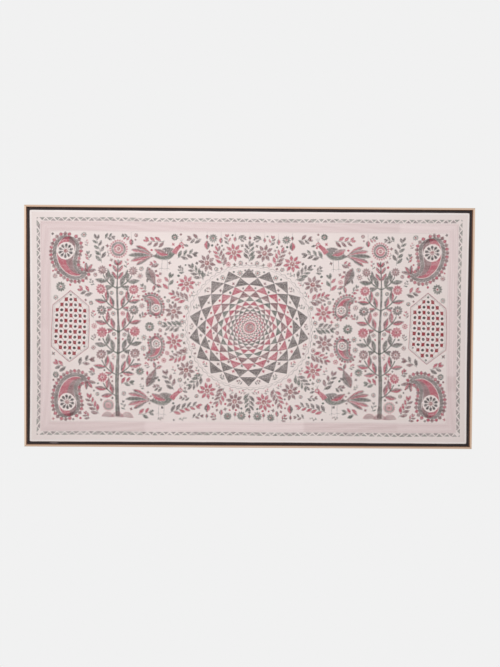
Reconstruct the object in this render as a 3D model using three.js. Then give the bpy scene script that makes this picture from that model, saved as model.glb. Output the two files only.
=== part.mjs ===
// A framed nakshi kantha: a quilted, embroidered cloth laid flat on a black board in a thin wooden frame.
// Millimetres, +Z up, +X to the right, front towards -Y, the wall at Y = 0.
// The origin is the middle of the top rail's back face, which is fixed to the wall.

import * as THREE from 'three';
import { mergeVertices } from 'three/addons/utils/BufferGeometryUtils.js';

// Frame
const FRAME_WIDTH = 1500;
const FRAME_HEIGHT = 806;
const RAIL_FACE = 6.5; // width of a rail seen from the front
const RAIL_DEPTH = 30; // from the wall to the rail's front
const RAIL_EASE = 0.8; // chamfer on the rail's two front edges
const BOARD_THICK = 8; // black board that carries the cloth
const SEAT_GAP = 0.3; // clearance between pieces that touch
const MITRE_GAP = 0.2; // taken off each mitred end

// Cloth
const CLOTH_THICK = 2; // layers of soft cotton quilted together
const CLOTH_RECESS = 9; // how far the cloth's face lies behind the rail's front
const CLOTH_MARGIN = 8.9; // strip of black board that shows round the cloth
const CORNER_EASE = 2.2; // how far a folded corner draws in
const EDGE_WANDER = 0.6; // unevenness of the hand-turned edge
const FIELD_COLUMNS = 14; // steps across the field
const FIELD_ROWS = 40; // steps up the field, one ripple for each pair
const FIELD_LIFT = 0.45; // height of the field's ripples

// The bands of the cloth's face, from the edge inwards. Each is a strip of the given width that is
// worked as a number of rounded rows, and lift is how far a row stands above its stitched lines.
const BANDS = [
  { band: 'hem', width: 6.5, rows: 1, lift: 0.35 },
  { band: 'margin', width: 16.5, rows: 1, lift: 0.2 },
  { band: 'chain border', width: 13, rows: 1, lift: 0.45 },
  { band: 'quilted band', width: 32, rows: 4, lift: 0.7 },
];

// Sizes that follow from these
const HALF_WIDTH = FRAME_WIDTH / 2;
const HALF_HEIGHT = FRAME_HEIGHT / 2;
const CLOTH_HALF_WIDTH = HALF_WIDTH - RAIL_FACE - CLOTH_MARGIN;
const CLOTH_HALF_HEIGHT = HALF_HEIGHT - RAIL_FACE - CLOTH_MARGIN;
const CLOTH_FRONT = -(RAIL_DEPTH - CLOTH_RECESS);
const CLOTH_BACK = CLOTH_FRONT + CLOTH_THICK;
const BOARD_FRONT = CLOTH_BACK + SEAT_GAP;
const BOARD_MIDDLE = BOARD_FRONT + BOARD_THICK / 2;

// Finishes
const paleWood = new THREE.MeshStandardMaterial({ color: 0xd2ae88, roughness: 0.55, metalness: 0 });
const blackBoard = new THREE.MeshStandardMaterial({ color: 0x2b2624, roughness: 0.85, metalness: 0 });
const roseCotton = new THREE.MeshStandardMaterial({ color: 0xe2d5d1, roughness: 0.95, metalness: 0 });

// The four sides of the frame: the turn that faces a side outwards, how far out it lies and half its length.
const SIDES = [
  { side: 'top', turn: 0, reach: HALF_HEIGHT, half: HALF_WIDTH },
  { side: 'right', turn: Math.PI / 2, reach: HALF_WIDTH, half: HALF_HEIGHT },
  { side: 'bottom', turn: Math.PI, reach: HALF_HEIGHT, half: HALF_WIDTH },
  { side: 'left', turn: -Math.PI / 2, reach: HALF_WIDTH, half: HALF_HEIGHT },
];

// A rail: a flat bar on edge, its front edges eased and its ends mitred.
function railGeometry(half) {
  const section = new THREE.Shape();
  section.moveTo(0, 0);
  section.lineTo(0, -RAIL_FACE);
  section.lineTo(-(RAIL_DEPTH - RAIL_EASE), -RAIL_FACE);
  section.lineTo(-RAIL_DEPTH, -(RAIL_FACE - RAIL_EASE));
  section.lineTo(-RAIL_DEPTH, -RAIL_EASE);
  section.lineTo(-(RAIL_DEPTH - RAIL_EASE), 0);
  const bar = new THREE.ExtrudeGeometry(section, { depth: 1, steps: 1, bevelEnabled: false });
  const at = bar.getAttribute('position');
  for (let i = 0; i < at.count; i += 1) {
    const depth = at.getX(i);
    const height = at.getY(i);
    const end = at.getZ(i) > 0.5 ? 1 : -1;
    at.setXYZ(i, end * (half + height - MITRE_GAP), depth, height);
  }
  bar.deleteAttribute('normal');
  bar.deleteAttribute('uv');
  return bar;
}

function woodenRails() {
  return SIDES.map(({ side, turn, reach, half }) => {
    const rail = new THREE.Mesh(railGeometry(half), paleWood);
    rail.name = `rail_${side}`;
    rail.rotation.y = turn;
    rail.position.set(reach * Math.sin(turn), 0, reach * Math.cos(turn));
    return rail;
  });
}

// The black board fills the space between the rails, and its front shows round the cloth.
function backingBoard() {
  const width = FRAME_WIDTH - 2 * (RAIL_FACE + SEAT_GAP);
  const height = FRAME_HEIGHT - 2 * (RAIL_FACE + SEAT_GAP);
  const board = new THREE.Mesh(new THREE.BoxGeometry(width, BOARD_THICK, height), blackBoard);
  board.name = 'backing_board';
  board.position.y = BOARD_MIDDLE;
  return board;
}

// Hand quilting is uneven: a slow wander between 0.6 and 1.4 along a row.
function uneven(along, row) {
  return 1 + 0.25 * Math.sin(along * 0.031 + row * 2.1) + 0.15 * Math.sin(along * 0.077 - row * 1.3);
}

// The cloth's section as rings, from the underside, round the soft edge and in to the field.
function clothRings() {
  const soft = CLOTH_THICK / 2;
  const turned = { lift: 0, ease: CORNER_EASE, wander: EDGE_WANDER };
  const rings = [
    { inset: soft, depth: CLOTH_BACK, ...turned },
    { inset: 0, depth: CLOTH_BACK - soft, ...turned },
    { inset: soft, depth: CLOTH_FRONT, ...turned },
  ];
  let stitched = 0;
  for (const { width, rows, lift } of BANDS) {
    for (let row = 0; row < rows; row += 1) {
      const middle = stitched + width / rows / 2;
      stitched += width / rows;
      rings.push({ inset: middle, depth: CLOTH_FRONT, lift, ease: 0, wander: 0 });
      rings.push({ inset: stitched, depth: CLOTH_FRONT, lift: 0, ease: 0, wander: 0 });
    }
  }
  return rings;
}

// One ring's points, clockwise from the top left corner as seen from the front.
function ringPoints(ring, index) {
  const a = CLOTH_HALF_WIDTH - ring.inset;
  const b = CLOTH_HALF_HEIGHT - ring.inset;
  const corners = [[-a, b], [a, b], [a, -b], [-a, -b]];
  const points = [];
  corners.forEach(([x, z], side) => {
    const [endX, endZ] = corners[(side + 1) % corners.length];
    const acrossTop = side % 2 === 0;
    const steps = acrossTop ? FIELD_COLUMNS : FIELD_ROWS;
    for (let step = 0; step < steps; step += 1) {
      const share = step / steps;
      const drawnIn = step === 0 ? ring.ease : 0;
      const px = x + (endX - x) * share - Math.sign(x) * drawnIn;
      const pz = z + (endZ - z) * share - Math.sign(z) * drawnIn;
      const stray = step === 0 ? 0 : ring.wander * (uneven(px * 0.3 + pz, side) - 1);
      const raised = ring.lift * uneven(px + pz, index);
      const outX = acrossTop ? 0 : Math.sign(x) * stray;
      const outZ = acrossTop ? Math.sign(z) * stray : 0;
      points.push(new THREE.Vector3(px + outX, ring.depth - raised, pz + outZ));
    }
  });
  return points;
}

// A grid that fills the space inside a ring, with the field's ripples raised by lift.
function innerGrid(edge, lift) {
  const grid = [];
  for (let row = 0; row <= FIELD_ROWS; row += 1) {
    const left = edge[(edge.length - row) % edge.length];
    const right = edge[FIELD_COLUMNS + row];
    const line = [];
    for (let column = 0; column <= FIELD_COLUMNS; column += 1) {
      const point = left.clone().lerp(right, column / FIELD_COLUMNS);
      if (row % 2 === 1) point.y -= lift * uneven(point.x, row);
      line.push(point);
    }
    line[0] = left;
    line[FIELD_COLUMNS] = right;
    grid.push(line);
  }
  for (let column = 0; column <= FIELD_COLUMNS; column += 1) {
    grid[0][column] = edge[column];
    grid[FIELD_ROWS][column] = edge[2 * FIELD_COLUMNS + FIELD_ROWS - column];
  }
  return grid;
}

// The kantha itself: one quilted sheet with a hem, a chain border, a quilted band and a rippled field.
function kanthaCloth() {
  const corners = [];
  const quad = (a, b, c, d) => {
    for (const point of [a, b, c, a, c, d]) corners.push(point.x, point.y, point.z);
  };
  const rings = clothRings().map(ringPoints);
  for (let ring = 0; ring + 1 < rings.length; ring += 1) {
    const outer = rings[ring];
    const inner = rings[ring + 1];
    outer.forEach((point, k) => {
      const next = (k + 1) % outer.length;
      quad(inner[k], inner[next], outer[next], point);
    });
  }
  const back = innerGrid(rings[0], 0);
  const face = innerGrid(rings[rings.length - 1], FIELD_LIFT);
  for (let row = 0; row < FIELD_ROWS; row += 1) {
    for (let column = 0; column < FIELD_COLUMNS; column += 1) {
      quad(face[row + 1][column], face[row + 1][column + 1], face[row][column + 1], face[row][column]);
      quad(back[row][column], back[row][column + 1], back[row + 1][column + 1], back[row + 1][column]);
    }
  }
  const sheet = new THREE.BufferGeometry();
  sheet.setAttribute('position', new THREE.Float32BufferAttribute(corners, 3));
  const cloth = new THREE.Mesh(mergeVertices(sheet), roseCotton);
  cloth.name = 'kantha_cloth';
  return cloth;
}

const hanging = new THREE.Group();
hanging.position.z = RAIL_FACE / 2 - HALF_HEIGHT;
hanging.add(...woodenRails(), backingBoard(), kanthaCloth());

export default hanging;
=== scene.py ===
import math

import bpy
import numpy as np
from mathutils import Matrix, Vector
from mathutils.kdtree import KDTree


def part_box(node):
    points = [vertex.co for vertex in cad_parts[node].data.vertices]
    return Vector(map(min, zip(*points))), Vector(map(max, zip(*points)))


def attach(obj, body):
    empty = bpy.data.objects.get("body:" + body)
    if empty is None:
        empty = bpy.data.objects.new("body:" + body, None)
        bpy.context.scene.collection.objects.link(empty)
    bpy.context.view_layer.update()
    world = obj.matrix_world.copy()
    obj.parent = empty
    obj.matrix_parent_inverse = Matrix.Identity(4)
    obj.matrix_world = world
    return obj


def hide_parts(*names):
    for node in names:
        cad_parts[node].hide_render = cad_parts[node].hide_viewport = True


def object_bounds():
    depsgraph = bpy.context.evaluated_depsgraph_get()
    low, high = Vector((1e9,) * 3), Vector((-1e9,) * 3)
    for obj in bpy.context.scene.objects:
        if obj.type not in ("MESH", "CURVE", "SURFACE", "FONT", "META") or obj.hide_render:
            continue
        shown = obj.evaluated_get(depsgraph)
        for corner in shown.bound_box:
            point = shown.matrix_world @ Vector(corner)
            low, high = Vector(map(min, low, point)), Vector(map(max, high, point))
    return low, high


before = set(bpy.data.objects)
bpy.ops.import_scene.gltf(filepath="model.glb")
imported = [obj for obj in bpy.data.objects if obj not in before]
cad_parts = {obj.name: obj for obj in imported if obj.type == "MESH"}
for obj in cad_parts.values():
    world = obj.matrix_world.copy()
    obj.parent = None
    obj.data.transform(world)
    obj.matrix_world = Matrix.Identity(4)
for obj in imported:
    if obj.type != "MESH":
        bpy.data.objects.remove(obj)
solids_low, solids_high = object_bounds()

# The camera stands about 2.5 m in front of the hanging, a little above its middle, and looks slightly
# down at it, as the photograph was taken: a 40 mm lens, square on but for a small turn and roll.
CAMERA_ASIDE, CAMERA_BACK, CAMERA_ABOVE = -0.0110, 2.4737, 0.0424
hanging_middle = (solids_low + solids_high) / 2
yaw, pitch, roll = (math.radians(angle) for angle in (0.320, -1.440, 0.394))
ahead = Vector((math.sin(yaw) * math.cos(pitch), math.cos(yaw) * math.cos(pitch), math.sin(pitch)))
level = ahead.cross(Vector((0, 0, 1))).normalized()
above = level.cross(ahead)
right = math.cos(roll) * level + math.sin(roll) * above
upward = math.cos(roll) * above - math.sin(roll) * level


def set_out(name, data):
    """An object with its data, added to the scene."""
    thing = bpy.data.objects.new(name, data)
    bpy.context.collection.objects.link(thing)
    return thing


camera = set_out("camera", bpy.data.cameras.new("camera"))
camera.data.lens, camera.data.sensor_width = 40, 36
stand = Matrix.Translation((CAMERA_ASIDE, solids_low.y - CAMERA_BACK, hanging_middle.z + CAMERA_ABOVE))
camera.matrix_world = stand @ Matrix((right, upward, -ahead)).transposed().to_4x4()
bpy.context.scene.camera = camera

# The kantha is one sheet of several soft, worn cotton layers quilted together by hand. Its edge is turned
# in as a narrow hem, and the quilting puckers it: firm rows in the border band, low ripples in the field.
MM = 0.001
CLOTH_THICK, ON_RIM = 2.0, 1.5
EDGE_WANDER, CORNER_EASE, CORNER_REACH = 0.6, 1.0, 7.0
SIDE_BOW, END_BOW = 2.2, 1.0
FIELD_LIFT, FIELD_RIPPLE, RIPPLE_SWAY, RIPPLE_START = 0.45, 32.0, 4.0, 12.0
BORDER_LINES, FIELD_STEP = 35, 8
STRIPS = (  # width, rows, lift: the hem, the margin, the chain border and the quilted band
    (6.5, 1, 0.35), (16.5, 1, 0.2), (13.0, 1, 0.45), (32.0, 4, 0.7),
)
HEM_INSET, CHAIN_INSET, BAND_INSET, FIELD_INSET = np.cumsum([width for width, _, _ in STRIPS])
cloth_low, cloth_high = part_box("kantha_cloth")
half_width = (cloth_high.x - cloth_low.x) / 2 / MM
half_height = (cloth_high.z - cloth_low.z) / 2 / MM
cloth_centre = (cloth_low + cloth_high) / 2
cloth_face = cloth_high.y - CLOTH_THICK * MM


def uneven(along, row):
    """The slow wander of hand quilting along a row, about 1."""
    return 1 + 0.25 * np.sin(along * 0.031 + row * 2.1) + 0.15 * np.sin(along * 0.077 - row * 1.3)


def relief(across, up):
    """Height in mm of the quilted face above its stitched lines, at places measured from its middle."""
    inset = np.minimum(half_width - np.abs(across), half_height - np.abs(up))
    height = np.zeros_like(inset)
    stitched, row = 0.0, 0
    for width, rows, lift in STRIPS:
        for _ in range(rows):
            share = (inset - stitched) * rows / width
            inside = (share > 0) & (share < 1)
            crown = np.sin(np.pi * np.clip(share, 0, 1)) * uneven(across + up, row)
            height = np.where(inside, lift * crown, height)
            stitched += width / rows
            row += 1
    ripple = np.sin(np.pi * (up + RIPPLE_SWAY * np.sin(across * 0.013)) / FIELD_RIPPLE) ** 2
    ripple *= FIELD_LIFT * uneven(across, np.floor(up / FIELD_RIPPLE))
    return np.where(inset >= stitched, ripple * np.clip((inset - stitched) / RIPPLE_START, 0, 1), height)


def on_cloth(across, up, lift):
    """Points in the hanging's frame, in metres, for places on the cloth's face and a height above it in mm.

    The cloth is drawn tight at its corners, so its edges bow in a little between them.
    """
    depth = cloth_face - (relief(across, up) + lift) * MM
    side_share, end_share = across / half_width, up / half_height
    x = across - SIDE_BOW * side_share ** 3 * (1 - end_share ** 2)
    z = up - END_BOW * end_share ** 3 * (1 - side_share ** 2)
    return np.stack([cloth_centre.x + x * MM, depth, cloth_centre.z + z * MM], axis=-1)


def strip_lines(half):
    """Grid lines across the cloth: close together over its border strips, wider apart in the field."""
    border = np.linspace(half - CLOTH_THICK / 2, half - FIELD_INSET, BORDER_LINES)
    field = np.linspace(half - FIELD_INSET, FIELD_INSET - half, int(2 * (half - FIELD_INSET) / FIELD_STEP))
    return np.concatenate([-border, field[::-1][1:-1], border[::-1]])


def turned_edge(across, up):
    """The hand-turned edge strays a little, and its folded corners draw in."""
    from_side, from_end = half_width - np.abs(across), half_height - np.abs(up)
    stray_side = EDGE_WANDER * (uneven(up + 0.3 * across, 1) - 1) * np.clip(1 - from_side / HEM_INSET, 0, 1)
    stray_end = EDGE_WANDER * (uneven(across + 0.3 * up, 2) - 1) * np.clip(1 - from_end / HEM_INSET, 0, 1)
    drawn_in = CORNER_EASE * np.clip(1 - np.hypot(from_side, from_end) / CORNER_REACH, 0, 1)
    return across + np.sign(across) * (stray_side - drawn_in), up + np.sign(up) * (stray_end - drawn_in)


grid_across, grid_up = np.meshgrid(strip_lines(half_width), strip_lines(half_height))
count = grid_across.size
number = np.arange(count).reshape(grid_across.shape)
rim = np.concatenate([number[-1], number[-2::-1, -1], number[0, -2::-1], number[1:-1, 0]])
rim_across, rim_up = grid_across.ravel()[rim], grid_up.ravel()[rim]
out_across = np.where(np.abs(rim_across) > half_width - ON_RIM, np.sign(rim_across), 0)
out_up = np.where(np.abs(rim_up) > half_height - ON_RIM, np.sign(rim_up), 0)
face_points = on_cloth(*turned_edge(grid_across.ravel(), grid_up.ravel()), 0.0)
edge_points = on_cloth(*turned_edge(rim_across + out_across, rim_up + out_up), 0.0)
edge_points[:, 1] = cloth_high.y - CLOTH_THICK / 2 * MM
back_points = on_cloth(*turned_edge(rim_across, rim_up), 0.0)
back_points[:, 1] = cloth_high.y
face_quads = np.stack([number[:-1, :-1], number[:-1, 1:], number[1:, 1:], number[1:, :-1]], -1).reshape(-1, 4)
here, onward = np.arange(len(rim)), np.roll(np.arange(len(rim)), -1)
front_edge = np.stack([rim, rim[onward], count + onward, count + here], 1)
back_edge = np.stack([count + here, count + onward, count + len(rim) + onward, count + len(rim) + here], 1)
underside = (count + len(rim) + here).tolist()
cloth_mesh = bpy.data.meshes.new("kantha_cloth_face")
cloth_points = np.concatenate([face_points, edge_points, back_points])
cloth_faces = np.concatenate([face_quads, front_edge, back_edge]).tolist() + [underside]
cloth_mesh.from_pydata(cloth_points.tolist(), [], cloth_faces)
cloth_mesh.polygons.foreach_set("use_smooth", [True] * (len(cloth_faces) - 1) + [False])

# Where the hem and the band lie on the sheet, for its colours, and a flat map of its two faces. The band is
# pieced from strips of pink cloth of slightly different shade, painted paler and deeper in streaks along
# them.
HEM_BLEND, BAND_BLEND = 1.5, 3.0
BAND_PIECES = (  # side, the strip's ends along it, and how much deeper than the usual pink it is
    ("top", -750, 500, 0.2), ("top", 500, 750, -0.3), ("left", 0, 400, 0.2),
    ("bottom", -750, -350, 0.2), ("bottom", -350, 185, -0.3), ("bottom", 185, 500, 0.3),
    ("right", -158, 400, -0.15), ("right", -207, -158, 0.4), ("right", -400, -207, 0.05),
)
from_side, from_end = half_width - np.abs(grid_across), half_height - np.abs(grid_up)
inset = np.minimum(from_side, from_end)
lengthwise = from_end <= from_side
along_band = np.where(lengthwise, grid_across, grid_up)
end_side, long_side = np.where(grid_across > 0, "right", "left"), np.where(grid_up > 0, "top", "bottom")
band_side = np.where(lengthwise, long_side, end_side)
streaks = np.sin(0.9 * inset + 2.5 * np.sin(0.009 * along_band)) * np.sin(0.017 * along_band + 0.6 * inset)
pink_depth = 0.5 + 0.3 * streaks
for side, first, last, deeper in BAND_PIECES:
    pink_depth += deeper * ((band_side == side) & (along_band >= first) & (along_band < last))
hem_mask = np.clip((HEM_INSET - inset) / HEM_BLEND + 0.5, 0, 1)
band_mask = np.clip(np.minimum(inset - BAND_INSET, FIELD_INSET - inset) / BAND_BLEND + 0.5, 0, 1)


def mark(mesh, name, values):
    """Keeps a value at each point of a mesh, for its material."""
    mesh.attributes.new(name, "FLOAT", "POINT").data.foreach_set("value", values)


for name, mask, at_edge in (("hem", hem_mask, 1.0), ("band", band_mask, 0.0), ("pink", pink_depth, 0.0)):
    mark(cloth_mesh, name, np.concatenate([mask.ravel(), np.full(2 * len(rim), at_edge)]))
corner_point = np.zeros(len(cloth_mesh.loops), dtype=int)
cloth_mesh.loops.foreach_get("vertex_index", corner_point)
flat_map = (cloth_points[corner_point][:, [0, 2]] - [cloth_low.x, cloth_low.z]) / (cloth_high.x - cloth_low.x)
flat_map = 0.92 * flat_map + [0.04, 0.505]
flat_map[-len(underside):, 1] -= 0.5
cloth_mesh.uv_layers.new(name="OFBake").data.foreach_set("uv", flat_map.ravel())


def dye(code):
    """A colour as Blender's linear numbers, from its six hex digits."""
    parts = [int(code[place:place + 2], 16) / 255 for place in (0, 2, 4)]
    return [part / 12.92 if part <= 0.04045 else ((part + 0.055) / 1.055) ** 2.4 for part in parts] + [1.0]


def feed(tree, socket, value):
    """Gives a node's input a plain value or another node's output."""
    if isinstance(value, bpy.types.NodeSocket):
        tree.links.new(value, socket)
    else:
        socket.default_value = value


def connect(tree, node, **inputs):
    """Feeds a node's inputs by their names."""
    for name, value in inputs.items():
        feed(tree, node.inputs[name.replace("_", " ")], value)


def add_node(tree, kind, *in_order, **by_name):
    """Adds a node and feeds its inputs, in their order or by their names."""
    node = tree.nodes.new("ShaderNode" + kind)
    for socket, value in zip(node.inputs, in_order):
        feed(tree, socket, value)
    connect(tree, node, **by_name)
    return node


def calculated(tree, operation, *values, kind="Math"):
    """The result of a sum on numbers, or on vectors if the kind is VectorMath."""
    node = add_node(tree, kind, *values)
    node.operation = operation
    return node.outputs["Value" if kind == "Math" or operation in ("LENGTH", "DOT_PRODUCT") else "Vector"]


def ranged(tree, value, **ends):
    """A value moved from one range to another, and kept within it."""
    return add_node(tree, "MapRange", value, **ends).outputs["Result"]


def attribute(tree, name):
    """A value that was marked on the mesh."""
    node = add_node(tree, "Attribute")
    node.attribute_name = name
    return node.outputs["Fac"]


def place_on(tree):
    """The place on a piece, in the hanging's frame."""
    return add_node(tree, "TexCoord").outputs["Object"]


def blended(tree, share, first, second, way="MIX"):
    """Mixes two colours by a share, each a plain value or a node's output."""
    node = add_node(tree, "Mix")
    node.data_type, node.blend_type = "RGBA", way
    for place, value in ((0, share), (6, first), (7, second)):
        feed(tree, node.inputs[place], value)
    return node.outputs[2]


def new_material(name, **plain_values):
    """A material with its Principled shader, on which values that are the same all over are set."""
    material = bpy.data.materials.new(name)
    material.use_nodes = True
    shader = material.node_tree.nodes["Principled BSDF"]
    connect(material.node_tree, shader, **plain_values)
    return material, material.node_tree, shader


def new_group(name, inputs, outputs):
    """An empty group with its sockets: (name, kind, value) for an input, (name, kind) for an output."""
    group = bpy.data.node_groups.new(name, "ShaderNodeTree")
    for socket, kind, value in inputs:
        kind = "NodeSocket" + kind
        group.interface.new_socket(socket, in_out="INPUT", socket_type=kind).default_value = value
    for socket, kind in outputs:
        group.interface.new_socket(socket, in_out="OUTPUT", socket_type="NodeSocket" + kind)
    return group, group.nodes.new("NodeGroupInput").outputs, group.nodes.new("NodeGroupOutput")


def use_group(tree, group, **inputs):
    """A shared group, used in a material with its own inputs."""
    node = add_node(tree, "Group")
    node.node_tree = group
    connect(tree, node, **inputs)
    return node.outputs


# Plain weave, on the kantha and on the board's black cover: fine threads over and under, with slubs.
weave, weave_in, weave_out = new_group(
    "plain weave",
    [("Threads", "Float", 1500.0), ("Slubs", "Float", 90.0)],
    [("Height", "Float"), ("Slub", "Float")],
)
weave_place = place_on(weave)
warp, weft = (add_node(weave, "TexWave", Vector=weave_place, Scale=weave_in["Threads"]) for _ in range(2))
warp.bands_direction, weft.bands_direction = "X", "Z"
slub = add_node(weave, "TexNoise", Vector=weave_place, Scale=weave_in["Slubs"], Detail=4.0)
crossing = calculated(weave, "MAXIMUM", warp.outputs["Fac"], weft.outputs["Fac"])
connect(weave, weave_out, Height=crossing, Slub=slub.outputs["Fac"])

cotton, tree, shader = new_material(
    "worn rose cotton", Roughness=0.92, Sheen_Weight=0.25, Sheen_Roughness=0.6)
cloth_place = place_on(tree)
woven = use_group(tree, weave)
age = add_node(tree, "TexNoise", Vector=cloth_place, Scale=2.6, Detail=5.0, Roughness=0.6)
aged = ranged(tree, age.outputs["Fac"], From_Min=0.35, From_Max=0.7)
wash = blended(tree, aged, dye("EBDFDD"), dye("E9DAD8"))
slubbed = blended(tree, woven["Slub"], wash, dye("E6DAD6"))
pink = blended(tree, attribute(tree, "pink"), dye("F0E0DF"), dye("DCC9C8"))
banded = blended(tree, attribute(tree, "band"), slubbed, pink)
hemmed = blended(tree, attribute(tree, "hem"), banded, dye("F2EAE8"))
stretched_place = add_node(tree, "Mapping", Vector=cloth_place, Scale=(130, 130, 330))
pucker = add_node(tree, "TexNoise", Vector=stretched_place.outputs["Vector"], Scale=1.0, Detail=2.0)
puckered = add_node(tree, "Bump", Strength=0.5, Distance=0.0012, Height=pucker.outputs["Fac"])
threads = add_node(tree, "Bump", Strength=0.35, Distance=0.0002, Height=woven["Height"],
                   Normal=puckered.outputs["Normal"])
connect(tree, shader, Base_Color=hemmed, Normal=threads.outputs["Normal"])
cloth_mesh.materials.append(cotton)
cloth = set_out("kantha_cloth_face", cloth_mesh)
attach(cloth, "root")
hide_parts("kantha_cloth")

# The hem is held by one row of cream running stitch, sewn by hand with a soft two-ply cotton thread.
# All the sewing on the cloth is done with such threads, so they and their stitches are set out here.
STITCH_LIFT, STITCH_SINK, STITCH_SHAKE, USUAL_WIDTH = 0.5, 0.08, 0.12, 1.15
PLY_TURN = 0.4
STITCH_FACES = np.array([  # corners: six round the foot of a stitch, from its start, then two on its crown
    (0, 1, 6), (1, 2, 7), (1, 7, 6), (2, 3, 7), (3, 4, 7), (4, 5, 6), (4, 6, 7), (5, 0, 6),
])
twist, twist_in, twist_out = new_group(
    "cotton thread",
    [("Dyed", "Color", (0.5, 0.5, 0.5, 1)), ("Faded", "Color", (0.6, 0.6, 0.6, 1))],
    [("Colour", "Color")],
)
patchy = add_node(twist, "TexNoise", Vector=place_on(twist), Scale=14.0, Detail=3.0)
fade = calculated(twist, "MULTIPLY", attribute(twist, "fade"), patchy.outputs["Fac"])
faded = blended(twist, fade, twist_in["Dyed"], twist_in["Faded"])
# The grooves between the two plies of each thread are painted darker: painted shade in the twist.
turn_of_ply = calculated(twist, "PINGPONG", attribute(twist, "ply"), PLY_TURN)
ply_groove_shade = ranged(twist, turn_of_ply, From_Max=PLY_TURN, To_Max=0.4)
with_painted_ply_shade = blended(twist, ply_groove_shade, faded, (0.5, 0.48, 0.48, 1), "MULTIPLY")
connect(twist, twist_out, Colour=with_painted_ply_shade)
sewn_so_far = []


def dyed_thread(name, dyed, faded, width=1.45):
    """A cotton thread: its colour, the paler colour that it fades to, and its width in mm as it lies."""
    material, tree, shader = new_material(name, Roughness=0.78, Sheen_Weight=0.2)
    strand = use_group(tree, twist, Dyed=dye(dyed), Faded=dye(faded))
    connect(tree, shader, Base_Color=strand["Colour"])
    material["width_mm"] = width
    return material


def run(path, stitch=4.4, gap=0.4, skip=0.0):
    """Running stitch along a path, as an array with the two ends of each stitch: x, z, x, z in mm."""
    steps = np.hypot(*np.diff(path, axis=0).T)
    along = np.concatenate([[0.0], np.cumsum(steps)])
    begin = np.arange(skip, along[-1] - 0.6, stitch + gap)
    end = np.minimum(begin + stitch, along[-1])
    return np.stack([np.interp(place, along, path[:, axis]) for place in (begin, end) for axis in (0, 1)], 1)


def sew(name, work, stray=2.6):
    """Joins a list of (thread, stitches) into one mesh of small ridges that lie on the cloth.

    The lines were drawn by hand, so they stray from their places by up to the given length in mm.
    """
    work = [(thread, stitches) for thread, stitches in work if len(stitches)]
    used = list(dict.fromkeys(thread for thread, _ in work))
    stitches = np.concatenate([part for _, part in work])
    thread_of = np.concatenate([np.full(len(part), used.index(thread)) for thread, part in work])
    widths = np.array([thread["width_mm"] for thread in used])[thread_of]
    chance = np.random.default_rng(len(stitches))
    stitches = stitches + chance.normal(0, STITCH_SHAKE, stitches.shape)
    across, up = stitches[:, [0, 2]], stitches[:, [1, 3]]
    stitches[:, [0, 2]] += stray * np.sin(0.019 * up + 0.011 * across + 0.8)
    stitches[:, [1, 3]] += stray * np.sin(0.016 * across - 0.009 * up)
    start, stop = stitches[:, :2], stitches[:, 2:]
    length = np.maximum(np.hypot(*(stop - start).T), 0.3)[:, None]
    along = (stop - start) / length
    beside = np.stack([-along[:, 1], along[:, 0]], 1) * widths[:, None] / 2
    crown = np.minimum(0.24 * length, 0.9)
    shoulder = np.minimum(0.12 * length, 0.4)
    far = length - shoulder
    reach = np.concatenate([0 * length, shoulder, far, length, far, shoulder, crown, length - crown], 1)
    aside = np.array([0, -1, -1, 0, 1, 1, 0, 0])
    flat = start[:, None] + along[:, None] * reach[..., None] + beside[:, None] * aside[:, None]
    lifts = np.repeat([[-STITCH_SINK] * 6 + [STITCH_LIFT] * 2], len(stitches), 0)
    lifts[:, 6:] *= chance.uniform(0.8, 1.2, (len(stitches), 1)) * (widths[:, None] / USUAL_WIDTH)
    points = on_cloth(flat[..., 0].ravel(), flat[..., 1].ravel(), lifts.ravel())
    corners = (STITCH_FACES[None] + 8 * np.arange(len(stitches))[:, None, None]).reshape(-1)
    mesh = bpy.data.meshes.new(name)
    mesh.vertices.add(len(points))
    mesh.vertices.foreach_set("co", points.ravel())
    mesh.loops.add(len(corners))
    mesh.loops.foreach_set("vertex_index", corners)
    mesh.polygons.add(len(corners) // 3)
    mesh.polygons.foreach_set("loop_start", np.arange(0, len(corners), 3))
    mesh.polygons.foreach_set("material_index", np.repeat(thread_of, len(STITCH_FACES)))
    mesh.polygons.foreach_set("use_smooth", np.ones(len(corners) // 3, dtype=bool))
    mesh.update(calc_edges=True)
    mark(mesh, "fade", np.repeat(chance.uniform(0, 1, len(stitches)) ** 1.5, 8))
    mark(mesh, "ply", (reach + 0.45 * widths[:, None] * aside).ravel())
    spread = points[:, [0, 2]] - points[:, [0, 2]].min(0)
    flat_map = 0.01 + 0.98 * spread[corners] / spread.max()
    mesh.uv_layers.new(name="OFBake").data.foreach_set("uv", flat_map.ravel())
    for thread in used:
        mesh.materials.append(thread)
    piece = set_out(name, mesh)
    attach(piece, "root")
    sewn_so_far.append(stitches)


def round_cloth(from_edge):
    """A path all round the cloth at one distance from its edge."""
    half = half_width - from_edge, half_height - from_edge
    return np.array([(-1, 1), (1, 1), (1, -1), (-1, -1), (-1, 1)]) * half


cream_thread = dyed_thread("cream thread", "F1E9E2", "E9DDD6", 0.9)
sew("hem_stitches", [(cream_thread, run(round_cloth(HEM_INSET), 5.0, 3.0))], 0.4)

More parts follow.
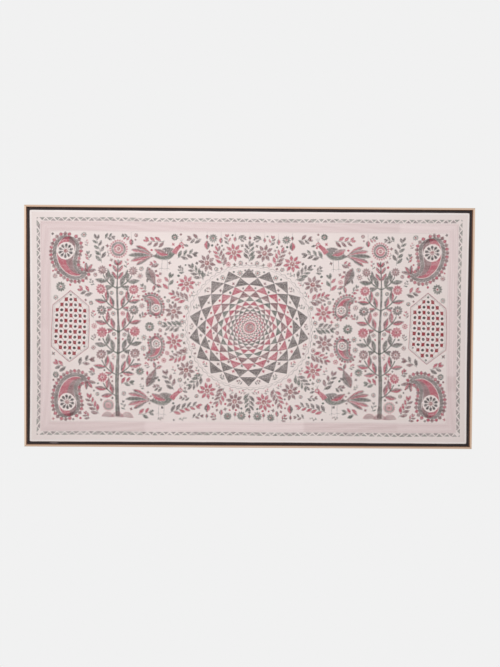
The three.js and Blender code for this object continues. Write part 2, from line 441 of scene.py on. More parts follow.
# The quilted band is a frame of close rows of thin blush running stitch, worked through all the layers
# round the field, so that the rows stand up between their stitched lines. A thin line ends it at the field.
BAND_ROWS, FADED_ROWS = 12, (0, 3, 4, 7, 10)
blush_thread = dyed_thread("blush thread", "C09A9C", "CCABAC", 0.85)
faded_blush = dyed_thread("faded blush thread", "CBB2B0", "D6C2C0", 0.85)
band_spacing = (FIELD_INSET - BAND_INSET) / BAND_ROWS
band_rows = [
    run(round_cloth(BAND_INSET + (row + 0.5) * band_spacing), 3.6, 2.3, skip=(row * 2.1) % 5.9)
    for row in range(BAND_ROWS)
]
band_threads = [faded_blush if row in FADED_ROWS else blush_thread for row in range(BAND_ROWS)]
field_line = dyed_thread("thin mauve thread", "8C7E7F", "A99C9C", 0.7)
edge_of_field = [(field_line, run(round_cloth(FIELD_INSET + 1.5), 3.0, 1.6))]
sew("band_quilting", list(zip(band_threads, band_rows)) + edge_of_field, 0.8)

# The chain border runs round the cloth outside the band: a pale zigzag left between two rows of small
# triangles, grey-green along its outer side and mauve-grey along its inner side. They were drawn by eye,
# so no two are alike, and some have faded more than others.
CHAIN_PITCH, CHAIN_BASE, CHAIN_DEPTH, CHAIN_CLEAR = 25.2, 20.6, 9.5, 0.8
EYE_SIZES, EYE_SLIP = (0.88, 1.14), 1.4
MOST_FADED = 0.14  # share of the triangles
ROW_SPACING, SET_BACK = 1.36, 1.9  # every second row is set back


def spot_at(radius, degrees):
    """A point at a distance from the origin, in a direction."""
    return np.array([radius * math.cos(math.radians(degrees)), radius * math.sin(math.radians(degrees))])


def turning(degrees):
    """A turn, as a matrix."""
    x, z = spot_at(1.0, degrees)
    return np.array([[x, -z], [z, x]])


def hatch(corners, heading, thread, spacing=ROW_SPACING):
    """Rows of running stitch in one direction across a shape that has straight sides and no hollows."""
    turned = turning(heading)
    first = np.asarray(corners, dtype=float) @ turned
    second = np.roll(first, -1, 0)
    rows = [np.zeros((0, 4))]
    for row, level in enumerate(np.arange(first[:, 1].min() + spacing / 2, first[:, 1].max(), spacing)):
        cut = (first[:, 1] - level) * (second[:, 1] - level) < 0
        share = (level - first[cut, 1]) / (second[cut, 1] - first[cut, 1])
        ends = first[cut, 0] + share * (second[cut, 0] - first[cut, 0])
        if len(ends) > 1 and np.ptp(ends) > 1.2:
            line = np.array([[ends.min() + 0.3, level], [ends.max() - 0.3, level]])
            rows.append(run(line @ turned.T, skip=-SET_BACK * (row % 2)))
    return [(thread, np.concatenate(rows))]


def placed(work, x, z, turn=0.0, mirror=False):
    """A motif moved to its place on the cloth, turned, and worked the other way round if mirrored."""
    turned = turning(turn).T * [[-1 if mirror else 1], [1]]
    return [
        (thread, np.concatenate([part[:, :2] @ turned + (x, z), part[:, 2:] @ turned + (x, z)], 1))
        for thread, part in work
    ]


chain_green = dyed_thread("pale green-grey thread", "6A7169", "8C928A", 1.25)
chain_mauve = dyed_thread("pale mauve-grey thread", "736668", "928688", 1.25)
chain_faded = dyed_thread("faded grey thread", "9C9694", "B0A9A7", 1.25)
chain_middle = (CHAIN_INSET + BAND_INSET) / 2
half_strip = (BAND_INSET - CHAIN_INSET) / 2 - CHAIN_CLEAR
by_eye = np.random.default_rng(12)
chain = []
for turn, reach, half in ((0, half_height, half_width), (180, half_height, half_width),
                          (90, half_width, half_height), (-90, half_width, half_height)):
    turns = 2 * round((half - chain_middle) / CHAIN_PITCH)
    spots = np.linspace(chain_middle - half, half - chain_middle, 2 * turns + 1)
    corner = np.array([(-half_strip, half_strip), (1.0, half_strip), (-half_strip, -1.0)]) + (spots[0], 0)
    side = hatch(corner, 45, chain_green)
    for place, spot in enumerate(spots[1:-1]):
        edge = half_strip if place % 2 == 0 else -half_strip
        base, depth = (size * by_eye.uniform(*EYE_SIZES) for size in (CHAIN_BASE, CHAIN_DEPTH))
        point = (spot + by_eye.normal(0, EYE_SLIP), edge - math.copysign(depth, edge))
        triangle = np.array([(spot - base / 2, edge), point, (spot + base / 2, edge)])
        thread = chain_green if place % 2 == 0 else chain_mauve
        side += hatch(triangle, 0, chain_faded if by_eye.random() < MOST_FADED else thread)
    chain += placed(side, *spot_at(reach - chain_middle, turn + 90), turn)
sew("chain_border", chain, 0.8)

# The lotus fills the middle of the field: rings of triangles round a crimson heart, each ring set over the
# gaps of the one inside it and a little larger, so that their sides make long curves from heart to rim.
LOTUS_POINTS, LOTUS_START, LOTUS_GROWTH, RIM_WAVES = 18, 22.0, 1.171, 60
LOTUS_THREADS = "crimson dark rose grey rose mauve green mauve rose green mauve rose grey grey".split()
crimson = dyed_thread("crimson thread", "8E0017", "A00A2C")
rose = dyed_thread("rose thread", "B3264A", "C95A76")
mauve = dyed_thread("mauve thread", "77434B", "97696E")
grey = dyed_thread("grey thread", "4E4444", "6E6463")
green_grey = dyed_thread("green-grey thread", "455147", "68726A")
dark = dyed_thread("dark thread", "241D21", "40373B", 1.0)
thick_dark = dyed_thread("thick dark thread", "1E171B", "382F33", 1.6)
fine_line = dyed_thread("fine grey thread", "463C3E", "6A6061", 0.9)
colours = {"rose": rose, "mauve": mauve, "grey": grey, "green": green_grey, "crimson": crimson,
           "dark": thick_dark}


def ring(radius, steps=72):
    """A circle round the origin."""
    angle = np.linspace(0, 2 * math.pi, steps)
    return radius * np.stack([np.cos(angle), np.sin(angle)], 1)


def disc(radius, thread, inner=0.0, spacing=ROW_SPACING):
    """A round spot, or a ring, of close circles of running stitch. A small spot is worked straight across."""
    if radius < 5 and inner == 0:
        return hatch(ring(radius, 13)[:-1], 20, thread, 1.1)
    circles = np.arange(radius - 0.6, max(inner, 0.7), -spacing)
    return [(thread, run(ring(circle), 3.4, 0.6, skip=0.9 * row)) for row, circle in enumerate(circles)]


lotus = disc(9, crimson) + disc(12.6, thick_dark, 10.4) + disc(19, rose, 14)
for tier, name in enumerate(LOTUS_THREADS):
    low, high = LOTUS_START * LOTUS_GROWTH ** tier, LOTUS_START * LOTUS_GROWTH ** (tier + 1)
    for point in range(LOTUS_POINTS):
        heading = 360 * (point + 0.5 * (tier % 2)) / LOTUS_POINTS
        base = spot_at(low, heading - 180 / LOTUS_POINTS), spot_at(low, heading + 180 / LOTUS_POINTS)
        triangle = np.array([base[0], spot_at(high, heading), base[1]])
        lotus += hatch(triangle, heading + 90, colours[name])
        if tier > 2:
            lotus.append((fine_line, run(triangle, 3.2, 0.7)))
lotus_rim = LOTUS_START * LOTUS_GROWTH ** len(LOTUS_THREADS)
around = np.linspace(0, 2 * math.pi, 900)
for away, sway, thread in ((10, 2.2, grey), (4, 0.0, fine_line)):
    wave = lotus_rim + away + sway * np.sin(RIM_WAVES * around)
    lotus.append((thread, run(np.stack([wave * np.cos(around), wave * np.sin(around)], 1), 3.6, 0.7)))
sew("lotus", lotus)

# Star flowers and leaf sprigs stand in turn in a ring round the lotus. A star is a crimson heart with
# narrow rays, and a sprig is a short stem with leaves in two colours of thread, one on each side of the rib.
STAR_RING, STARS = 256, 16


def arc(x, z, heading, length, turn=0.0, steps=24):
    """A path from a point, in a direction, that turns steadily along its length. Angles are in degrees."""
    angle = np.radians(heading + turn * np.linspace(0, 1, steps))[:-1]
    step = np.stack([np.cos(angle), np.sin(angle)], 1) * length / (steps - 1)
    return np.concatenate([[(x, z)], np.array([x, z]) + np.cumsum(step, 0)])


def bulge(steps, widest=0.5, fullness=0.85):
    """The swelling of a leaf or petal along its length, from 0 to 1 and back, widest at a given share."""
    share = np.linspace(0, 1, steps) ** (math.log(0.5) / math.log(widest))
    return np.clip(np.sin(np.pi * share), 0, 1) ** fullness


def sideways(path):
    """Unit steps to the left of a path, at each of its points."""
    slope = np.gradient(path, axis=0)
    return np.stack([-slope[:, 1], slope[:, 0]], 1) / np.maximum(np.hypot(*slope.T), 1e-6)[:, None]


def rows_where(line, keep, thread, row):
    """Running stitch along those parts of a line where it is to be kept."""
    ends = np.flatnonzero(np.diff(np.concatenate([[0], keep.astype(int), [0]])))
    return [
        (thread, run(line[first:last], skip=-SET_BACK * (row % 2)))
        for first, last in zip(ends[::2], ends[1::2]) if last - first > 1
    ]


def fill(path, half, thread, other=None, spacing=ROW_SPACING, hole=None):
    """Rows along a path, out to a half width at each point. Its right side may have another thread."""
    beside = sideways(path)
    reach = int(np.max(half) / spacing)
    work = []
    for row in range(-reach, reach + 1):
        line = path + row * spacing * beside
        inside = abs(row) * spacing <= half - 0.3
        if hole is not None:
            inside &= np.hypot(line[:, 0] - hole[0], line[:, 1] - hole[1]) > hole[2]
        work += rows_where(line, inside, other if other is not None and row < 0 else thread, row)
    return work


def outline(path, half):
    """The closed line round a shape that is given by a path and a half width."""
    beside = sideways(path) * np.asarray(half)[:, None]
    line = np.concatenate([path + beside, (path - beside)[::-1]])
    return np.concatenate([line, line[:1]])


def leaf_rim(x, z, heading, length, width, turn=0.0, widest=0.5):
    """The closed line just outside a leaf or petal."""
    path = arc(x, z, heading, length, turn)
    return outline(path, width / 2 * bulge(len(path), widest) + 0.5)


def leaf(x, z, heading, length, width, thread, other=None, turn=0.0, line=None, widest=0.5):
    """A leaf or petal filled with rows that follow its rib, with a fine line round it if one is given."""
    path = arc(x, z, heading, length, turn)
    half = width / 2 * bulge(len(path), widest)
    work = fill(path, half, thread, other)
    if line is not None:
        work.append((line, run(leaf_rim(x, z, heading, length, width, turn, widest), 3.0, 0.6)))
    return work


def petals_round(count, away, length, width, thread, first=90, line=None, widest=0.4):
    """Petals, rays or spikes in a ring round the origin, each at a distance from it."""
    work = []
    for heading in first + 360 * np.arange(count) / count:
        work += leaf(*spot_at(away, heading), heading, length, width, thread, line=line, widest=widest)
    return work


def star(radius, points, thread, heart, widest=0.42):
    """A flower of rays round a heart, each ray with a fine line round it if the flower is large."""
    line = fine_line if radius > 17 else None
    ray = max(radius * 0.34, 3.6)
    rays = petals_round(points, radius * 0.3, radius * 0.7, ray, thread, line=line, widest=widest)
    return disc(max(radius * 0.27, 2.2), heart) + rays


def daisy(radius, thread, heart, petals=11):
    """A full round flower: petals that touch round its heart and end in separate tips."""
    work = disc(radius * 0.2, heart) + disc(radius * 0.6, thread, radius * 0.27)
    return work + petals_round(petals, radius * 0.5, radius * 0.5, 4.2 * radius / petals, thread)


def spray(length, leaves, leaf_length, leaf_width, first, second, bend=0.0, spread=48):
    """A stem with leaves on its two sides in turn, shorter towards its tip, where one more leaf ends it."""
    stem = arc(0, 0, 90 - bend / 2, length, bend, 60)
    work = [(green_grey, run(stem, 3.2, 0.4))]
    line = fine_line if leaf_width > 6 else None
    for place in range(leaves):
        root = stem[int(4 + 52 * place / max(leaves - 1, 1))]
        way = 1 if place % 2 else -1
        heading = 90 - bend / 2 + bend * place / leaves + way * spread
        size = 1 - 0.35 * place / leaves
        work += leaf(*(root + spot_at(1.4, heading)), heading, leaf_length * size, leaf_width * size,
                     colours[first if way > 0 else second], None, -18 * way, line)
    tip = leaf(*stem[-1], 90 + bend / 2, leaf_length * 0.7, leaf_width * 0.8, colours[first], line=line)
    return work + tip


star_ring = []
for place in range(STARS):
    heading = 360 * (place + 0.5) / STARS
    star_ring += placed(star(30, 8, (rose, mauve)[place % 2], crimson), *spot_at(STAR_RING, heading), heading)
    sprig = spray(54, 7, 28, 10.5, *(("grey", "green"), ("rose", "mauve"))[place % 2])
    heading = 360 * place / STARS
    star_ring += placed(sprig, *spot_at(STAR_RING - 36, heading), heading - 90)
sew("star_ring", star_ring)

# A flowering tree stands on each side of the lotus, on a small mound of earth: a grey trunk, rising
# branches set with leaves in pairs, and a round rayed flower at the end of each branch.
TREE_AT, TREE_ROOT, TREE_TOP = 440, -303, 226
BRANCHES = (  # height, sides, length, turn, flower radius, leaf threads, flower thread
    (-236, (1,), 76, 50, 18, "mauve", "rose", "rose"),
    (-164, (1, -1), 86, 50, 18, "rose", "grey", "mauve"),
    (-90, (1, -1), 86, 50, 19, "grey", "green", "rose"),
    (-16, (1, -1), 86, 50, 18, "mauve", "rose", "grey"),
    (58, (1, -1), 82, 46, 18, "grey", "rose", "rose"),
    (130, (1, -1), 72, 42, 16, "green", "grey", "mauve"),
)


def both_sides(work):
    """A motif on the right half of the cloth and its twin on the left."""
    return work + [(thread, part * [-1, 1, -1, 1]) for thread, part in work]


def clear_of(work, line):
    """The stitches of a motif that lie outside a closed line, within which another one is to be sewn."""
    first, second = line[:-1, :, None], line[1:, :, None]
    kept = []
    for thread, part in work:
        x, z = (part[:, :2] + part[:, 2:]).T / 2
        spans = (first[:, 1] > z) != (second[:, 1] > z)
        slope = (second[:, 0] - first[:, 0]) / np.where(spans, second[:, 1] - first[:, 1], 1.0)
        inside = (spans & (x < first[:, 0] + slope * (z - first[:, 1]))).sum(0) % 2
        kept.append((thread, part[inside == 0]))
    return kept


def wheel(radius, spikes, thread, rim, heart):
    """A round flower: a heart, two rings with bare cloth between them, and spikes along its rim."""
    work = disc(radius * 0.2, heart) + disc(radius * 0.5, rim, radius * 0.3)
    work += disc(radius * 0.76, thread, radius * 0.56)
    return work + petals_round(spikes, radius * 0.77, radius * 0.25, radius * 0.2, rim, 0)


trunk = arc(0, TREE_ROOT, 90, TREE_TOP - TREE_ROOT, 0, 80)
flowering_tree = fill(trunk, np.linspace(7.5, 2.2, len(trunk)), grey, green_grey)
for hill in (-34, 0, 34):
    for layer in range(9):
        arch = arc(hill - 19 + 2.1 * layer, TREE_ROOT - 4, 80, 57 - 6.4 * layer, -160)
        flowering_tree.append(((rose, mauve, green_grey)[layer % 3], run(arch, 3.6, 0.5)))
flowers = []
for height, sides, length, turn, flower, first, second, petals in BRANCHES:
    for way in sides:
        branch = arc(0, height, 90 - way * 66, length, way * turn, 40)
        flowering_tree += fill(branch, np.full(40, 1.9), green_grey)
        for place in (8, 22):
            slope = math.degrees(math.atan2(*(branch[place + 1] - branch[place])[::-1]))
            for lean in (50, -50):
                flowering_tree += leaf(*branch[place], slope + lean, 42, 14.5,
                                       colours[first], colours[second], -lean / 3, fine_line)
        flowers.append((branch[-1] + (0, flower * 0.6), flower, colours[petals]))
for spot, radius, thread in flowers:
    flowering_tree = clear_of(flowering_tree, ring(radius + 1) + spot)
    flowering_tree += placed(daisy(radius, thread, crimson), *spot)
for height, size in ((160, 32), (184, 28), (206, 22)):
    for way in (1, -1):
        flowering_tree += leaf(0, height, 90 - 42 * way, size, 11.5, rose, grey, 14 * way, fine_line)
flowering_tree += placed(wheel(31, 22, grey, rose, crimson), 0, TREE_TOP + 34)
sew("flowering_trees", both_sides(placed(flowering_tree, TREE_AT, 0)))

# A paisley leans in from each corner of the field, and two smaller ones stand on each side of the lotus.
# The body is bordered by a broad grey band with rose and mauve scallops along its rim, and the bulb holds a
# dark flower on bare cloth.
PAISLEYS = (  # across, up, turn, mirrored, size
    (594, -218, -4, True, 1.0),
    (594, 218, 184, False, 1.0),
    (322, -76, 176, True, 0.52),
    (322, 76, -4, False, 0.52),
)


def rows_inside(rim_line, rows, thread, spacing=1.5):
    """Rows side by side within a closed line that runs clockwise, each at its own distance from it."""
    work = []
    for row in range(rows):
        away = (row + 0.7) * spacing
        line = rim_line - away * sideways(rim_line)
        gap = np.hypot(line[:, None, 0] - rim_line[:, 0], line[:, None, 1] - rim_line[:, 1]).min(1)
        work += rows_where(line, gap > away - 0.25, thread, row)
    return work


def paisley(size):
    """A paisley that stands on its bulb. At full size it is 186 mm long and has leaves at its curled tip."""
    share = np.linspace(0, 1, 120)
    lean = np.radians(104 - 150 * share ** 2.2)
    spine = np.cumsum(np.stack([np.cos(lean), np.sin(lean)], 1) * 1.55, 0) + (-10, -84)
    spine *= size
    half = 48 * size * np.sin(np.pi * share ** 0.6) ** 0.62 * (1 - 0.3 * share)
    bulb = spine[36] + (0.0, -4.0 * size)
    rim_line = outline(spine, half)
    work = rows_inside(rim_line, round(8 * size), grey)
    work += fill(spine, half - 14 * size, rose, mauve, hole=(*bulb, 29 * size))
    work += placed(star(25 * size, 10, thick_dark, crimson, 0.7), *bulb)
    scallop = 4 + 8.5 * size
    along = np.concatenate([[0.0], np.cumsum(np.hypot(*np.diff(rim_line, axis=0).T))])
    for place, spot in enumerate(np.arange(5, along[-1] - 5, 5 + 7.4 * size)):
        (x, next_x), (z, next_z) = (np.interp([spot, spot + 1], along, line) for line in rim_line.T)
        heading = math.degrees(math.atan2(next_z - z, next_x - x)) + 90
        thread = (rose, mauve)[place % 2]
        work += leaf(x, z, heading, scallop, scallop - 0.5, thread, line=fine_line, widest=0.4)
    if size < 1:
        return work
    for heading, first, second in ((-110, grey, rose), (-70, rose, mauve), (-30, mauve, grey)):
        work += leaf(*spine[-1], heading, 32, 11, first, second, 20, fine_line)
    return work


paisleys = []
for x, z, turn, mirror, size in PAISLEYS:
    paisleys += placed(paisley(size), x, z, turn, mirror)
sew("paisleys", both_sides(paisleys))

# A trellis panel stands between the paisleys on each side: a pointed frame of three lines round a net of
# crossing threads, with a crimson square at each crossing and a dark spot in each opening.
TRELLIS_AT, TRELLIS_HALF_WIDTH, TRELLIS_HALF_HEIGHT, TRELLIS_CORNER = 600, 56, 112, 66
NET_ACROSS, NET_UP, HALF_SQUARE, DOT = 15.4, 17.6, 5.5, 5.0


def inside_trellis(x, z):
    """True where a point is within the panel's pointed frame, which has upright sides and sloping ends."""
    return abs(x) < TRELLIS_HALF_WIDTH - 6 and abs(z) + 0.82 * max(abs(x) - 4, 0) < TRELLIS_HALF_HEIGHT - 12


bright_crimson = dyed_thread("bright crimson thread", "96001C", "A60C2E", 1.6)
trellis = []
for grow, thread in ((0, fine_line), (4, grey), (6, rose)):
    wide, point, corner = TRELLIS_HALF_WIDTH + grow, TRELLIS_HALF_HEIGHT + grow, TRELLIS_CORNER + grow / 2
    frame_line = np.array([(0, point), (wide, corner), (wide, -corner), (0, -point), (-wide, -corner),
                           (-wide, corner), (0, point)])
    trellis.append((thread, run(frame_line, 3.4, 0.7)))
for column in range(-4, 5):
    for row in range(-7, 8):
        x, z = column * NET_ACROSS, row * NET_UP
        if not inside_trellis(x, z):
            continue
        if (column + row) % 2:
            trellis += hatch(ring(DOT, 11)[:-1] + (x, z), by_eye.uniform(0, 180), thick_dark, 1.1)
            continue
        ways = np.array([(-1, -1), (1, -1), (1, 1), (-1, 1)])
        square = HALF_SQUARE * ways + by_eye.uniform(-0.8, 0.8, (4, 2))
        trellis += hatch(square + (x, z), 0, bright_crimson, 1.05)
        for way in ((1, 1), (1, -1), (-1, 1), (-1, -1)):
            net = np.array([(HALF_SQUARE, HALF_SQUARE), (NET_ACROSS / 2, NET_UP / 2)]) * way + (x, z)
            trellis.append((fine_line, run(net, 4.4, 0.2)))
sew("trellis_panels", both_sides(placed(trellis, TRELLIS_AT, 0)))

# Birds stand in the spaces between the lotus and the trees, above and below, with fish beside them.
# Their bodies, wings, tails and fins are separate small fields of rows in two or three threads.
BIRDS = ((288, 240, 4, True), (292, -246, 4, True))  # across, up, turn, mirrored
FISH = ((328, 170, 66, False), (328, -170, -66, False))  # as for the birds
body = arc(-38, -5, 8, 84, 22, 40)
bird = fill(body, 20 * bulge(40, 0.56), grey, green_grey)
bird.append((dark, run(outline(body, 21 * bulge(40, 0.56)), 3.0, 0.6)))
for heading, length, first, second in ((146, 70, grey, rose), (202, 66, grey, rose), (160, 80, rose, mauve),
                                       (188, 80, rose, mauve), (174, 86, green_grey, grey)):
    bird = clear_of(bird, leaf_rim(-34, -3, heading, length, 16, 20, 0.66))
    bird += leaf(-34, -3, heading, length, 14, first, second, 20, fine_line, 0.66)
bird = clear_of(bird, leaf_rim(15, 3, 172, 52, 21, -24)) + leaf(15, 3, 172, 52, 19, rose, mauve, -24, dark)
neck = arc(33, 9, 62, 36, -26)
neck_half = np.linspace(10, 5.5, len(neck))
bird = clear_of(bird, outline(neck, neck_half + 1)) + fill(neck, neck_half, rose)
head = neck[-1]
bird += placed(disc(8, rose, 3.4) + disc(2.2, dark), head[0] + 2, head[1] + 4)
bird += leaf(head[0] + 10, head[1] + 3, -14, 17, 6.5, grey, line=dark)
for crest in (60, 85, 110):
    bird.append((dark, run(arc(head[0] + 1, head[1] + 11, crest, 15), 3.0, 0.4)))
for leg in (-6, 12):
    bird += fill(arc(leg, -15, -88, 28), np.full(24, 1.6), dark)
    bird += [(dark, run(arc(leg + 1, -43, toe, 10), 3.0, 0.4)) for toe in (-20, -90, -160)]
fish_body = arc(-34, 0, -6, 70, 12, 40)
fish = fill(fish_body, 14 * bulge(40, 0.58), mauve, grey)
fish.append((dark, run(outline(fish_body, 15 * bulge(40, 0.58)), 3.0, 0.6)))
fish += leaf(-31, 1, 146, 24, 10, grey, rose, -10, fine_line)
fish += leaf(-31, -1, 214, 24, 10, rose, grey, 10, fine_line)
fish += leaf(2, 13, 150, 18, 8, rose) + leaf(2, -13, 210, 18, 8, grey) + placed(disc(2.6, crimson), 26, 2)
animals = []
for animal, places in ((bird, BIRDS), (fish, FISH)):
    for place in places:
        animals += placed(animal, *place)
sew("birds_and_fish", both_sides(animals))

# Pendants hang from the field's edges on fine threads: a lozenge, or a small one over a larger one. They
# are drawn before the smaller filling, which keeps clear of them.
PENDANTS = (  # across, drop from the field's edge, at the top or the bottom
    (0, 22, 1), (48, 30, 1), (94, 38, 1), (140, 60, 1), (398, 44, 1),
    (0, 22, -1), (48, 30, -1), (94, 38, -1), (140, 60, -1),
)


def pendant(drop):
    """A lozenge on a thread, with a smaller one above it where the drop is long enough."""
    work = [(fine_line, run(np.array([(0.0, 0.0), (0.0, -drop)]), 3.0, 0.6))]
    size = min(drop * 0.5, 30)
    for top, height, first, second in ((drop - size, size, rose, grey), (drop - size - 20, 14, grey, rose)):
        if top > 2:
            work += leaf(0, -top, -90, height, height * 0.62, first, second, 0, fine_line)
    return work


field_width, field_height = half_width - FIELD_INSET, half_height - FIELD_INSET
pendants = []
for x, drop, edge in PENDANTS:
    pendants += placed(pendant(drop), x, edge * (field_height - 3), 0 if edge > 0 else 180)
sew("pendants", both_sides(pendants))

# Leaf sprigs, small flowers, lozenges and dots fill the field where there is still room, the larger ones
# first. A sprig lies along the longest clear strip through its place, and a flower takes a round space.
LEAST_ROOM, MOST_ROOM, CLEARANCE, FINE_STEP = 4.2, 25.0, 2.7, 3.0
SPRIG_THREADS = (("rose", "grey"), ("grey", "green"), ("rose", "mauve"), ("mauve", "grey"), ("green", "rose"))
stitched_spots = np.concatenate([part.reshape(-1, 2) for part in sewn_so_far])
stitched_spots = stitched_spots[stitched_spots[:, 0] > -30]
nearest = KDTree(len(stitched_spots))
for index, (x, z) in enumerate(stitched_spots):
    nearest.insert((x, z, 0), index)
nearest.balance()
free_x, free_z = np.meshgrid(
    np.arange(6, field_width, FINE_STEP), np.arange(-field_height, field_height, FINE_STEP))
to_stitches = [nearest.find((x, z, 0))[2] for x, z in zip(free_x.ravel(), free_z.ravel())]
room = np.minimum(np.reshape(to_stitches, free_x.shape), free_x) - CLEARANCE


def clear_run(row, column, heading, half):
    """How far a strip of a given half width runs clear from a place in a direction, up to 93 mm."""
    step = spot_at(1.0, heading)
    for count in range(1, 33):
        to_row, to_column = row + round(count * step[1]), column + round(count * step[0])
        on_field = 0 <= to_row < room.shape[0] and 0 <= to_column < room.shape[1]
        if not on_field or room[to_row, to_column] < half:
            break
    return (count - 1) * FINE_STEP


def small_motif(radius, turn_of_it):
    """A filler for a round space, of a kind that suits its size."""
    petals = (grey, rose, mauve, green_grey)[turn_of_it % 4]
    if radius > 17 and turn_of_it % 3 == 0:
        return wheel(radius, 18, petals, (grey, rose)[turn_of_it % 2], crimson)
    if radius > 12:
        return daisy(min(radius, 18), petals, crimson)
    if radius > 8:
        return star(radius, 8, petals, crimson)
    if radius > 6.2:
        return petals_round(4, 0, radius, radius * 0.55, petals, 45, widest=0.5) + disc(2.0, crimson)
    if turn_of_it % 2:
        return disc(radius * 0.75, petals)
    return hatch([(radius, 0), (0, radius), (-radius, 0), (0, -radius)], 0, petals)


sprigs, fillers, set_so_far = [], [], 0
while room.max() > LEAST_ROOM:
    row, column = np.unravel_index(room.argmax(), room.shape)
    spot, radius = np.array([free_x[row, column], free_z[row, column]]), min(room[row, column], MOST_ROOM)
    half = 0.8 * radius
    ways = range(0, 180, 15)
    strips = [clear_run(row, column, way, half) + clear_run(row, column, way + 180, half) for way in ways]
    heading = ways[int(np.argmax(strips))]
    first, last = spot, spot
    if max(strips) + 1.4 * half > 21 and (set_so_far % 4 < 3 or max(strips) > 30):
        first = spot - spot_at(clear_run(row, column, heading + 180, half) + 0.7 * half, heading)
        last = spot + spot_at(clear_run(row, column, heading, half) + 0.7 * half, heading)
        leaf_length = 1.3 * half
        leaf_width = max(0.42 * leaf_length, 4.2)
        length = np.hypot(*(last - first)) - 0.6 * leaf_length
        sprig = spray(length, max(4, 2 * int(length / (1.3 * leaf_width + 2.4))), leaf_length, leaf_width,
                      *SPRIG_THREADS[set_so_far % 5], (16, -16)[set_so_far % 2])
        sprigs += placed(sprig, *first, heading - 90)
    else:
        half = radius
        fillers += placed(small_motif(radius, set_so_far), *spot, 7 * set_so_far)
    set_so_far += 1
    strip, from_x, from_z = last - first, free_x - first[0], free_z - first[1]
    share = np.clip((from_x * strip[0] + from_z * strip[1]) / max(strip @ strip, 1e-9), 0, 1)
    away = np.hypot(from_x - share * strip[0], from_z - share * strip[1])
    room = np.minimum(room, away - half - CLEARANCE)
sew("leaf_sprigs", both_sides(sprigs))
sew("small_flowers", both_sides(fillers))

# Rows of cream running stitch quilt the bare ground between the motifs. They keep a little clear of them,
# so the cloth puckers gently round each one.
GROUND_SPACING, CELL = 5.4, 3.0


def cell_of(spots):
    """The rows and columns of spots on a grid of small cells over the cloth."""
    return tuple(((spots[:, [1, 0]] + (half_height, half_width)) / CELL).astype(int).T)


quilting_thread = dyed_thread("quilting thread", "DDCCC8", "E6D8D4", 0.85)
taken = np.zeros((int(2 * half_height / CELL) + 4, int(2 * half_width / CELL) + 4), dtype=bool)
for stitches in sewn_so_far:
    for share in (0.0, 0.5, 1.0):
        taken[cell_of(stitches[:, :2] * (1 - share) + stitches[:, 2:] * share)] = True
near = taken.copy()
for shift, axis in ((1, 0), (-1, 0), (1, 1), (-1, 1)):
    near |= np.roll(taken, shift, axis)
ground = []
for row, height in enumerate(np.arange(3 - field_height, field_height, GROUND_SPACING)):
    across = np.linspace(-field_width, field_width, 200)
    line = np.stack([across, height + 1.2 * np.sin(across * 0.021 + row)], 1)
    ground.append(run(line, 3.4, 3.0, skip=(row % 2) * 3.2))
ground = np.concatenate(ground)
bare = ~near[cell_of((ground[:, :2] + ground[:, 2:]) / 2)]
sew("ground_quilting", [(quilting_thread, ground[bare])], 0.0)

# The backing board is covered with matt black cotton, and shows as a dark strip round the kantha. The cover
# has a small pale patch painted on it in the lower strip, near the left corner.
PALE_PATCH_PLACE, PALE_PATCH_SHAPE = (-0.0607, 0, -0.0054), (85, 3, 300)
board_cover, tree, shader = new_material("black cotton cover", Roughness=0.95)
woven = use_group(tree, weave, Threads=900, Slubs=140)
black = blended(tree, woven["Slub"], dye("2B2526"), dye("41383A"))
board_share = add_node(tree, "TexCoord").outputs["Generated"]
off_pale_patch = add_node(tree, "Mapping", Vector=board_share, Location=PALE_PATCH_PLACE)
pale_patch_scale = add_node(tree, "Mapping", Vector=off_pale_patch.outputs["Vector"], Scale=PALE_PATCH_SHAPE)
pale_patch_reach = calculated(tree, "LENGTH", pale_patch_scale.outputs["Vector"], kind="VectorMath")
ragged_patch_reach = calculated(tree, "ADD", pale_patch_reach, woven["Slub"])
# A small pale grey patch is painted into the black here, with a ragged edge.
pale_patch_share = ranged(tree, ragged_patch_reach, From_Min=1.5, From_Max=1.1, To_Max=0.9)
black_with_pale_patch = blended(tree, pale_patch_share, black, dye("7A7070"))
cover_bump = add_node(tree, "Bump", Strength=0.5, Distance=0.0003, Height=woven["Height"])
connect(tree, shader, Base_Color=black_with_pale_patch, Normal=cover_bump.outputs["Normal"])


def refinish(node, material):
    """Gives one of the hanging's own solids its material."""
    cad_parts[node].data.materials.clear()
    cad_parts[node].data.materials.append(material)


refinish("backing_board", board_cover)

# The four rails are thin bars of a pale, clear-finished wood set on edge and mitred at the corners.
# The grain runs along each rail; the inner sides, facing the cloth, are painted darker brown as painted
# shade.
grain, grain_in, grain_out = new_group(
    "wood grain",
    [("Place", "Vector", (0, 0, 0)), ("Pale", "Color", (0.8, 0.6, 0.4, 1)),
     ("Streak", "Color", (0.6, 0.4, 0.3, 1))],
    [("Colour", "Color"), ("Height", "Float")],
)
fibres = add_node(grain, "TexNoise", Vector=grain_in["Place"], Scale=1.0, Detail=6.0, Roughness=0.62)
streaked = ranged(grain, fibres.outputs["Fac"], From_Min=0.36, From_Max=0.7)
wood_colour = blended(grain, streaked, grain_in["Pale"], grain_in["Streak"])
connect(grain, grain_out, Colour=wood_colour, Height=fibres.outputs["Fac"])
inside, inside_in, inside_out = new_group(
    "inner side of a frame",
    [("Middle", "Vector", (0, 0, 0)), ("Across", "Vector", (0, 0, 1))],
    [("Inside", "Float")],
)
normal = add_node(inside, "TexCoord").outputs["Normal"]
from_middle = calculated(inside, "SUBTRACT", inside_in["Middle"], place_on(inside), kind="VectorMath")
towards = calculated(inside, "MULTIPLY", from_middle, inside_in["Across"], kind="VectorMath")
facing = calculated(inside, "DOT_PRODUCT", towards, normal, kind="VectorMath")
connect(inside, inside_out, Inside=ranged(inside, facing, From_Min=0.25, From_Max=0.27))
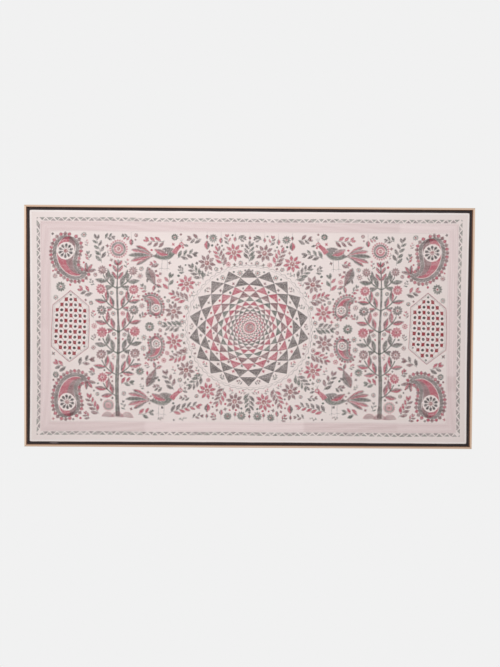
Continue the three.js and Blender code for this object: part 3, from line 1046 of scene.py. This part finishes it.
# The top and bottom rails get darker colours than the upright ones: painted shade on the same wood.
for name, stretch, across, pale, streak, rails in (
    ("pale wood along, painted darker", (6, 420, 420), (0, 0, 1), "DCC1AA", "C8A68C", ("rail_top", "rail_bottom")),
    ("pale wood upright", (420, 420, 6), (1, 0, 0), "F0D6BF", "DBBA9F", ("rail_left", "rail_right")),
):
    wood, tree, shader = new_material(name, Roughness=0.5, Coat_Weight=0.12, Coat_Roughness=0.35)
    grain_place = add_node(tree, "Mapping", Vector=place_on(tree), Scale=stretch).outputs["Vector"]
    grained = use_group(tree, grain, Place=grain_place, Pale=dye(pale), Streak=dye(streak))
    inner = use_group(tree, inside, Middle=hanging_middle, Across=across)
    # Painted shade: the inner sides are the same wood, coloured darker for the shade in the recess round the
    # cloth.
    inner_sides_painted_shade = blended(tree, inner["Inside"], grained["Colour"], dye("AC846B"))
    wood_bump = add_node(tree, "Bump", Strength=0.3, Distance=0.0002, Height=grained["Height"])
    connect(tree, shader, Base_Color=inner_sides_painted_shade, Normal=wood_bump.outputs["Normal"])
    for rail in rails:
        refinish(rail, wood)

# The hanging is shown as on a wall in a pale room: a plain floor below it, an even pale surround, and one
# broad soft lamp above it to the left, so that the light falls off towards the lower right.
bpy.context.scene.view_settings.view_transform = "Standard"
FLOOR_DROP, FLOOR_FRONT, FLOOR_BACK, FLOOR_HALF = 1.95, 4.2, 0.5, 3.4
floor_mesh = bpy.data.meshes.new("floor")
floor_corners = [(way * FLOOR_HALF, depth, -FLOOR_DROP) for way, depth in (
    (-1, -FLOOR_FRONT), (1, -FLOOR_FRONT), (1, FLOOR_BACK), (-1, FLOOR_BACK))]
floor_mesh.from_pydata(floor_corners, [], [(0, 1, 2, 3)])
floor_mesh.materials.append(new_material("pale floor", Roughness=0.8, Base_Color=dye("F4F2EF"))[0])
floor = set_out("floor", floor_mesh)
world = bpy.data.worlds.new("pale room")
world.use_nodes = True
bpy.context.scene.world = world
tree = world.node_tree
seen = add_node(tree, "LightPath").outputs["Is Camera Ray"]
strength = ranged(tree, seen, To_Min=0.54, To_Max=1.0)
connect(tree, tree.nodes["Background"], Color=dye("F1F1F1"), Strength=strength)
lamp = set_out("soft lamp", bpy.data.lights.new("soft lamp", "AREA"))
lamp.data.shape, lamp.data.size, lamp.data.energy = "DISK", 0.9, 25.6
lamp.location = (-0.28, -1.95, 0.4)
lamp.rotation_euler = (hanging_middle - lamp.location).to_track_quat("-Z", "Y").to_euler()
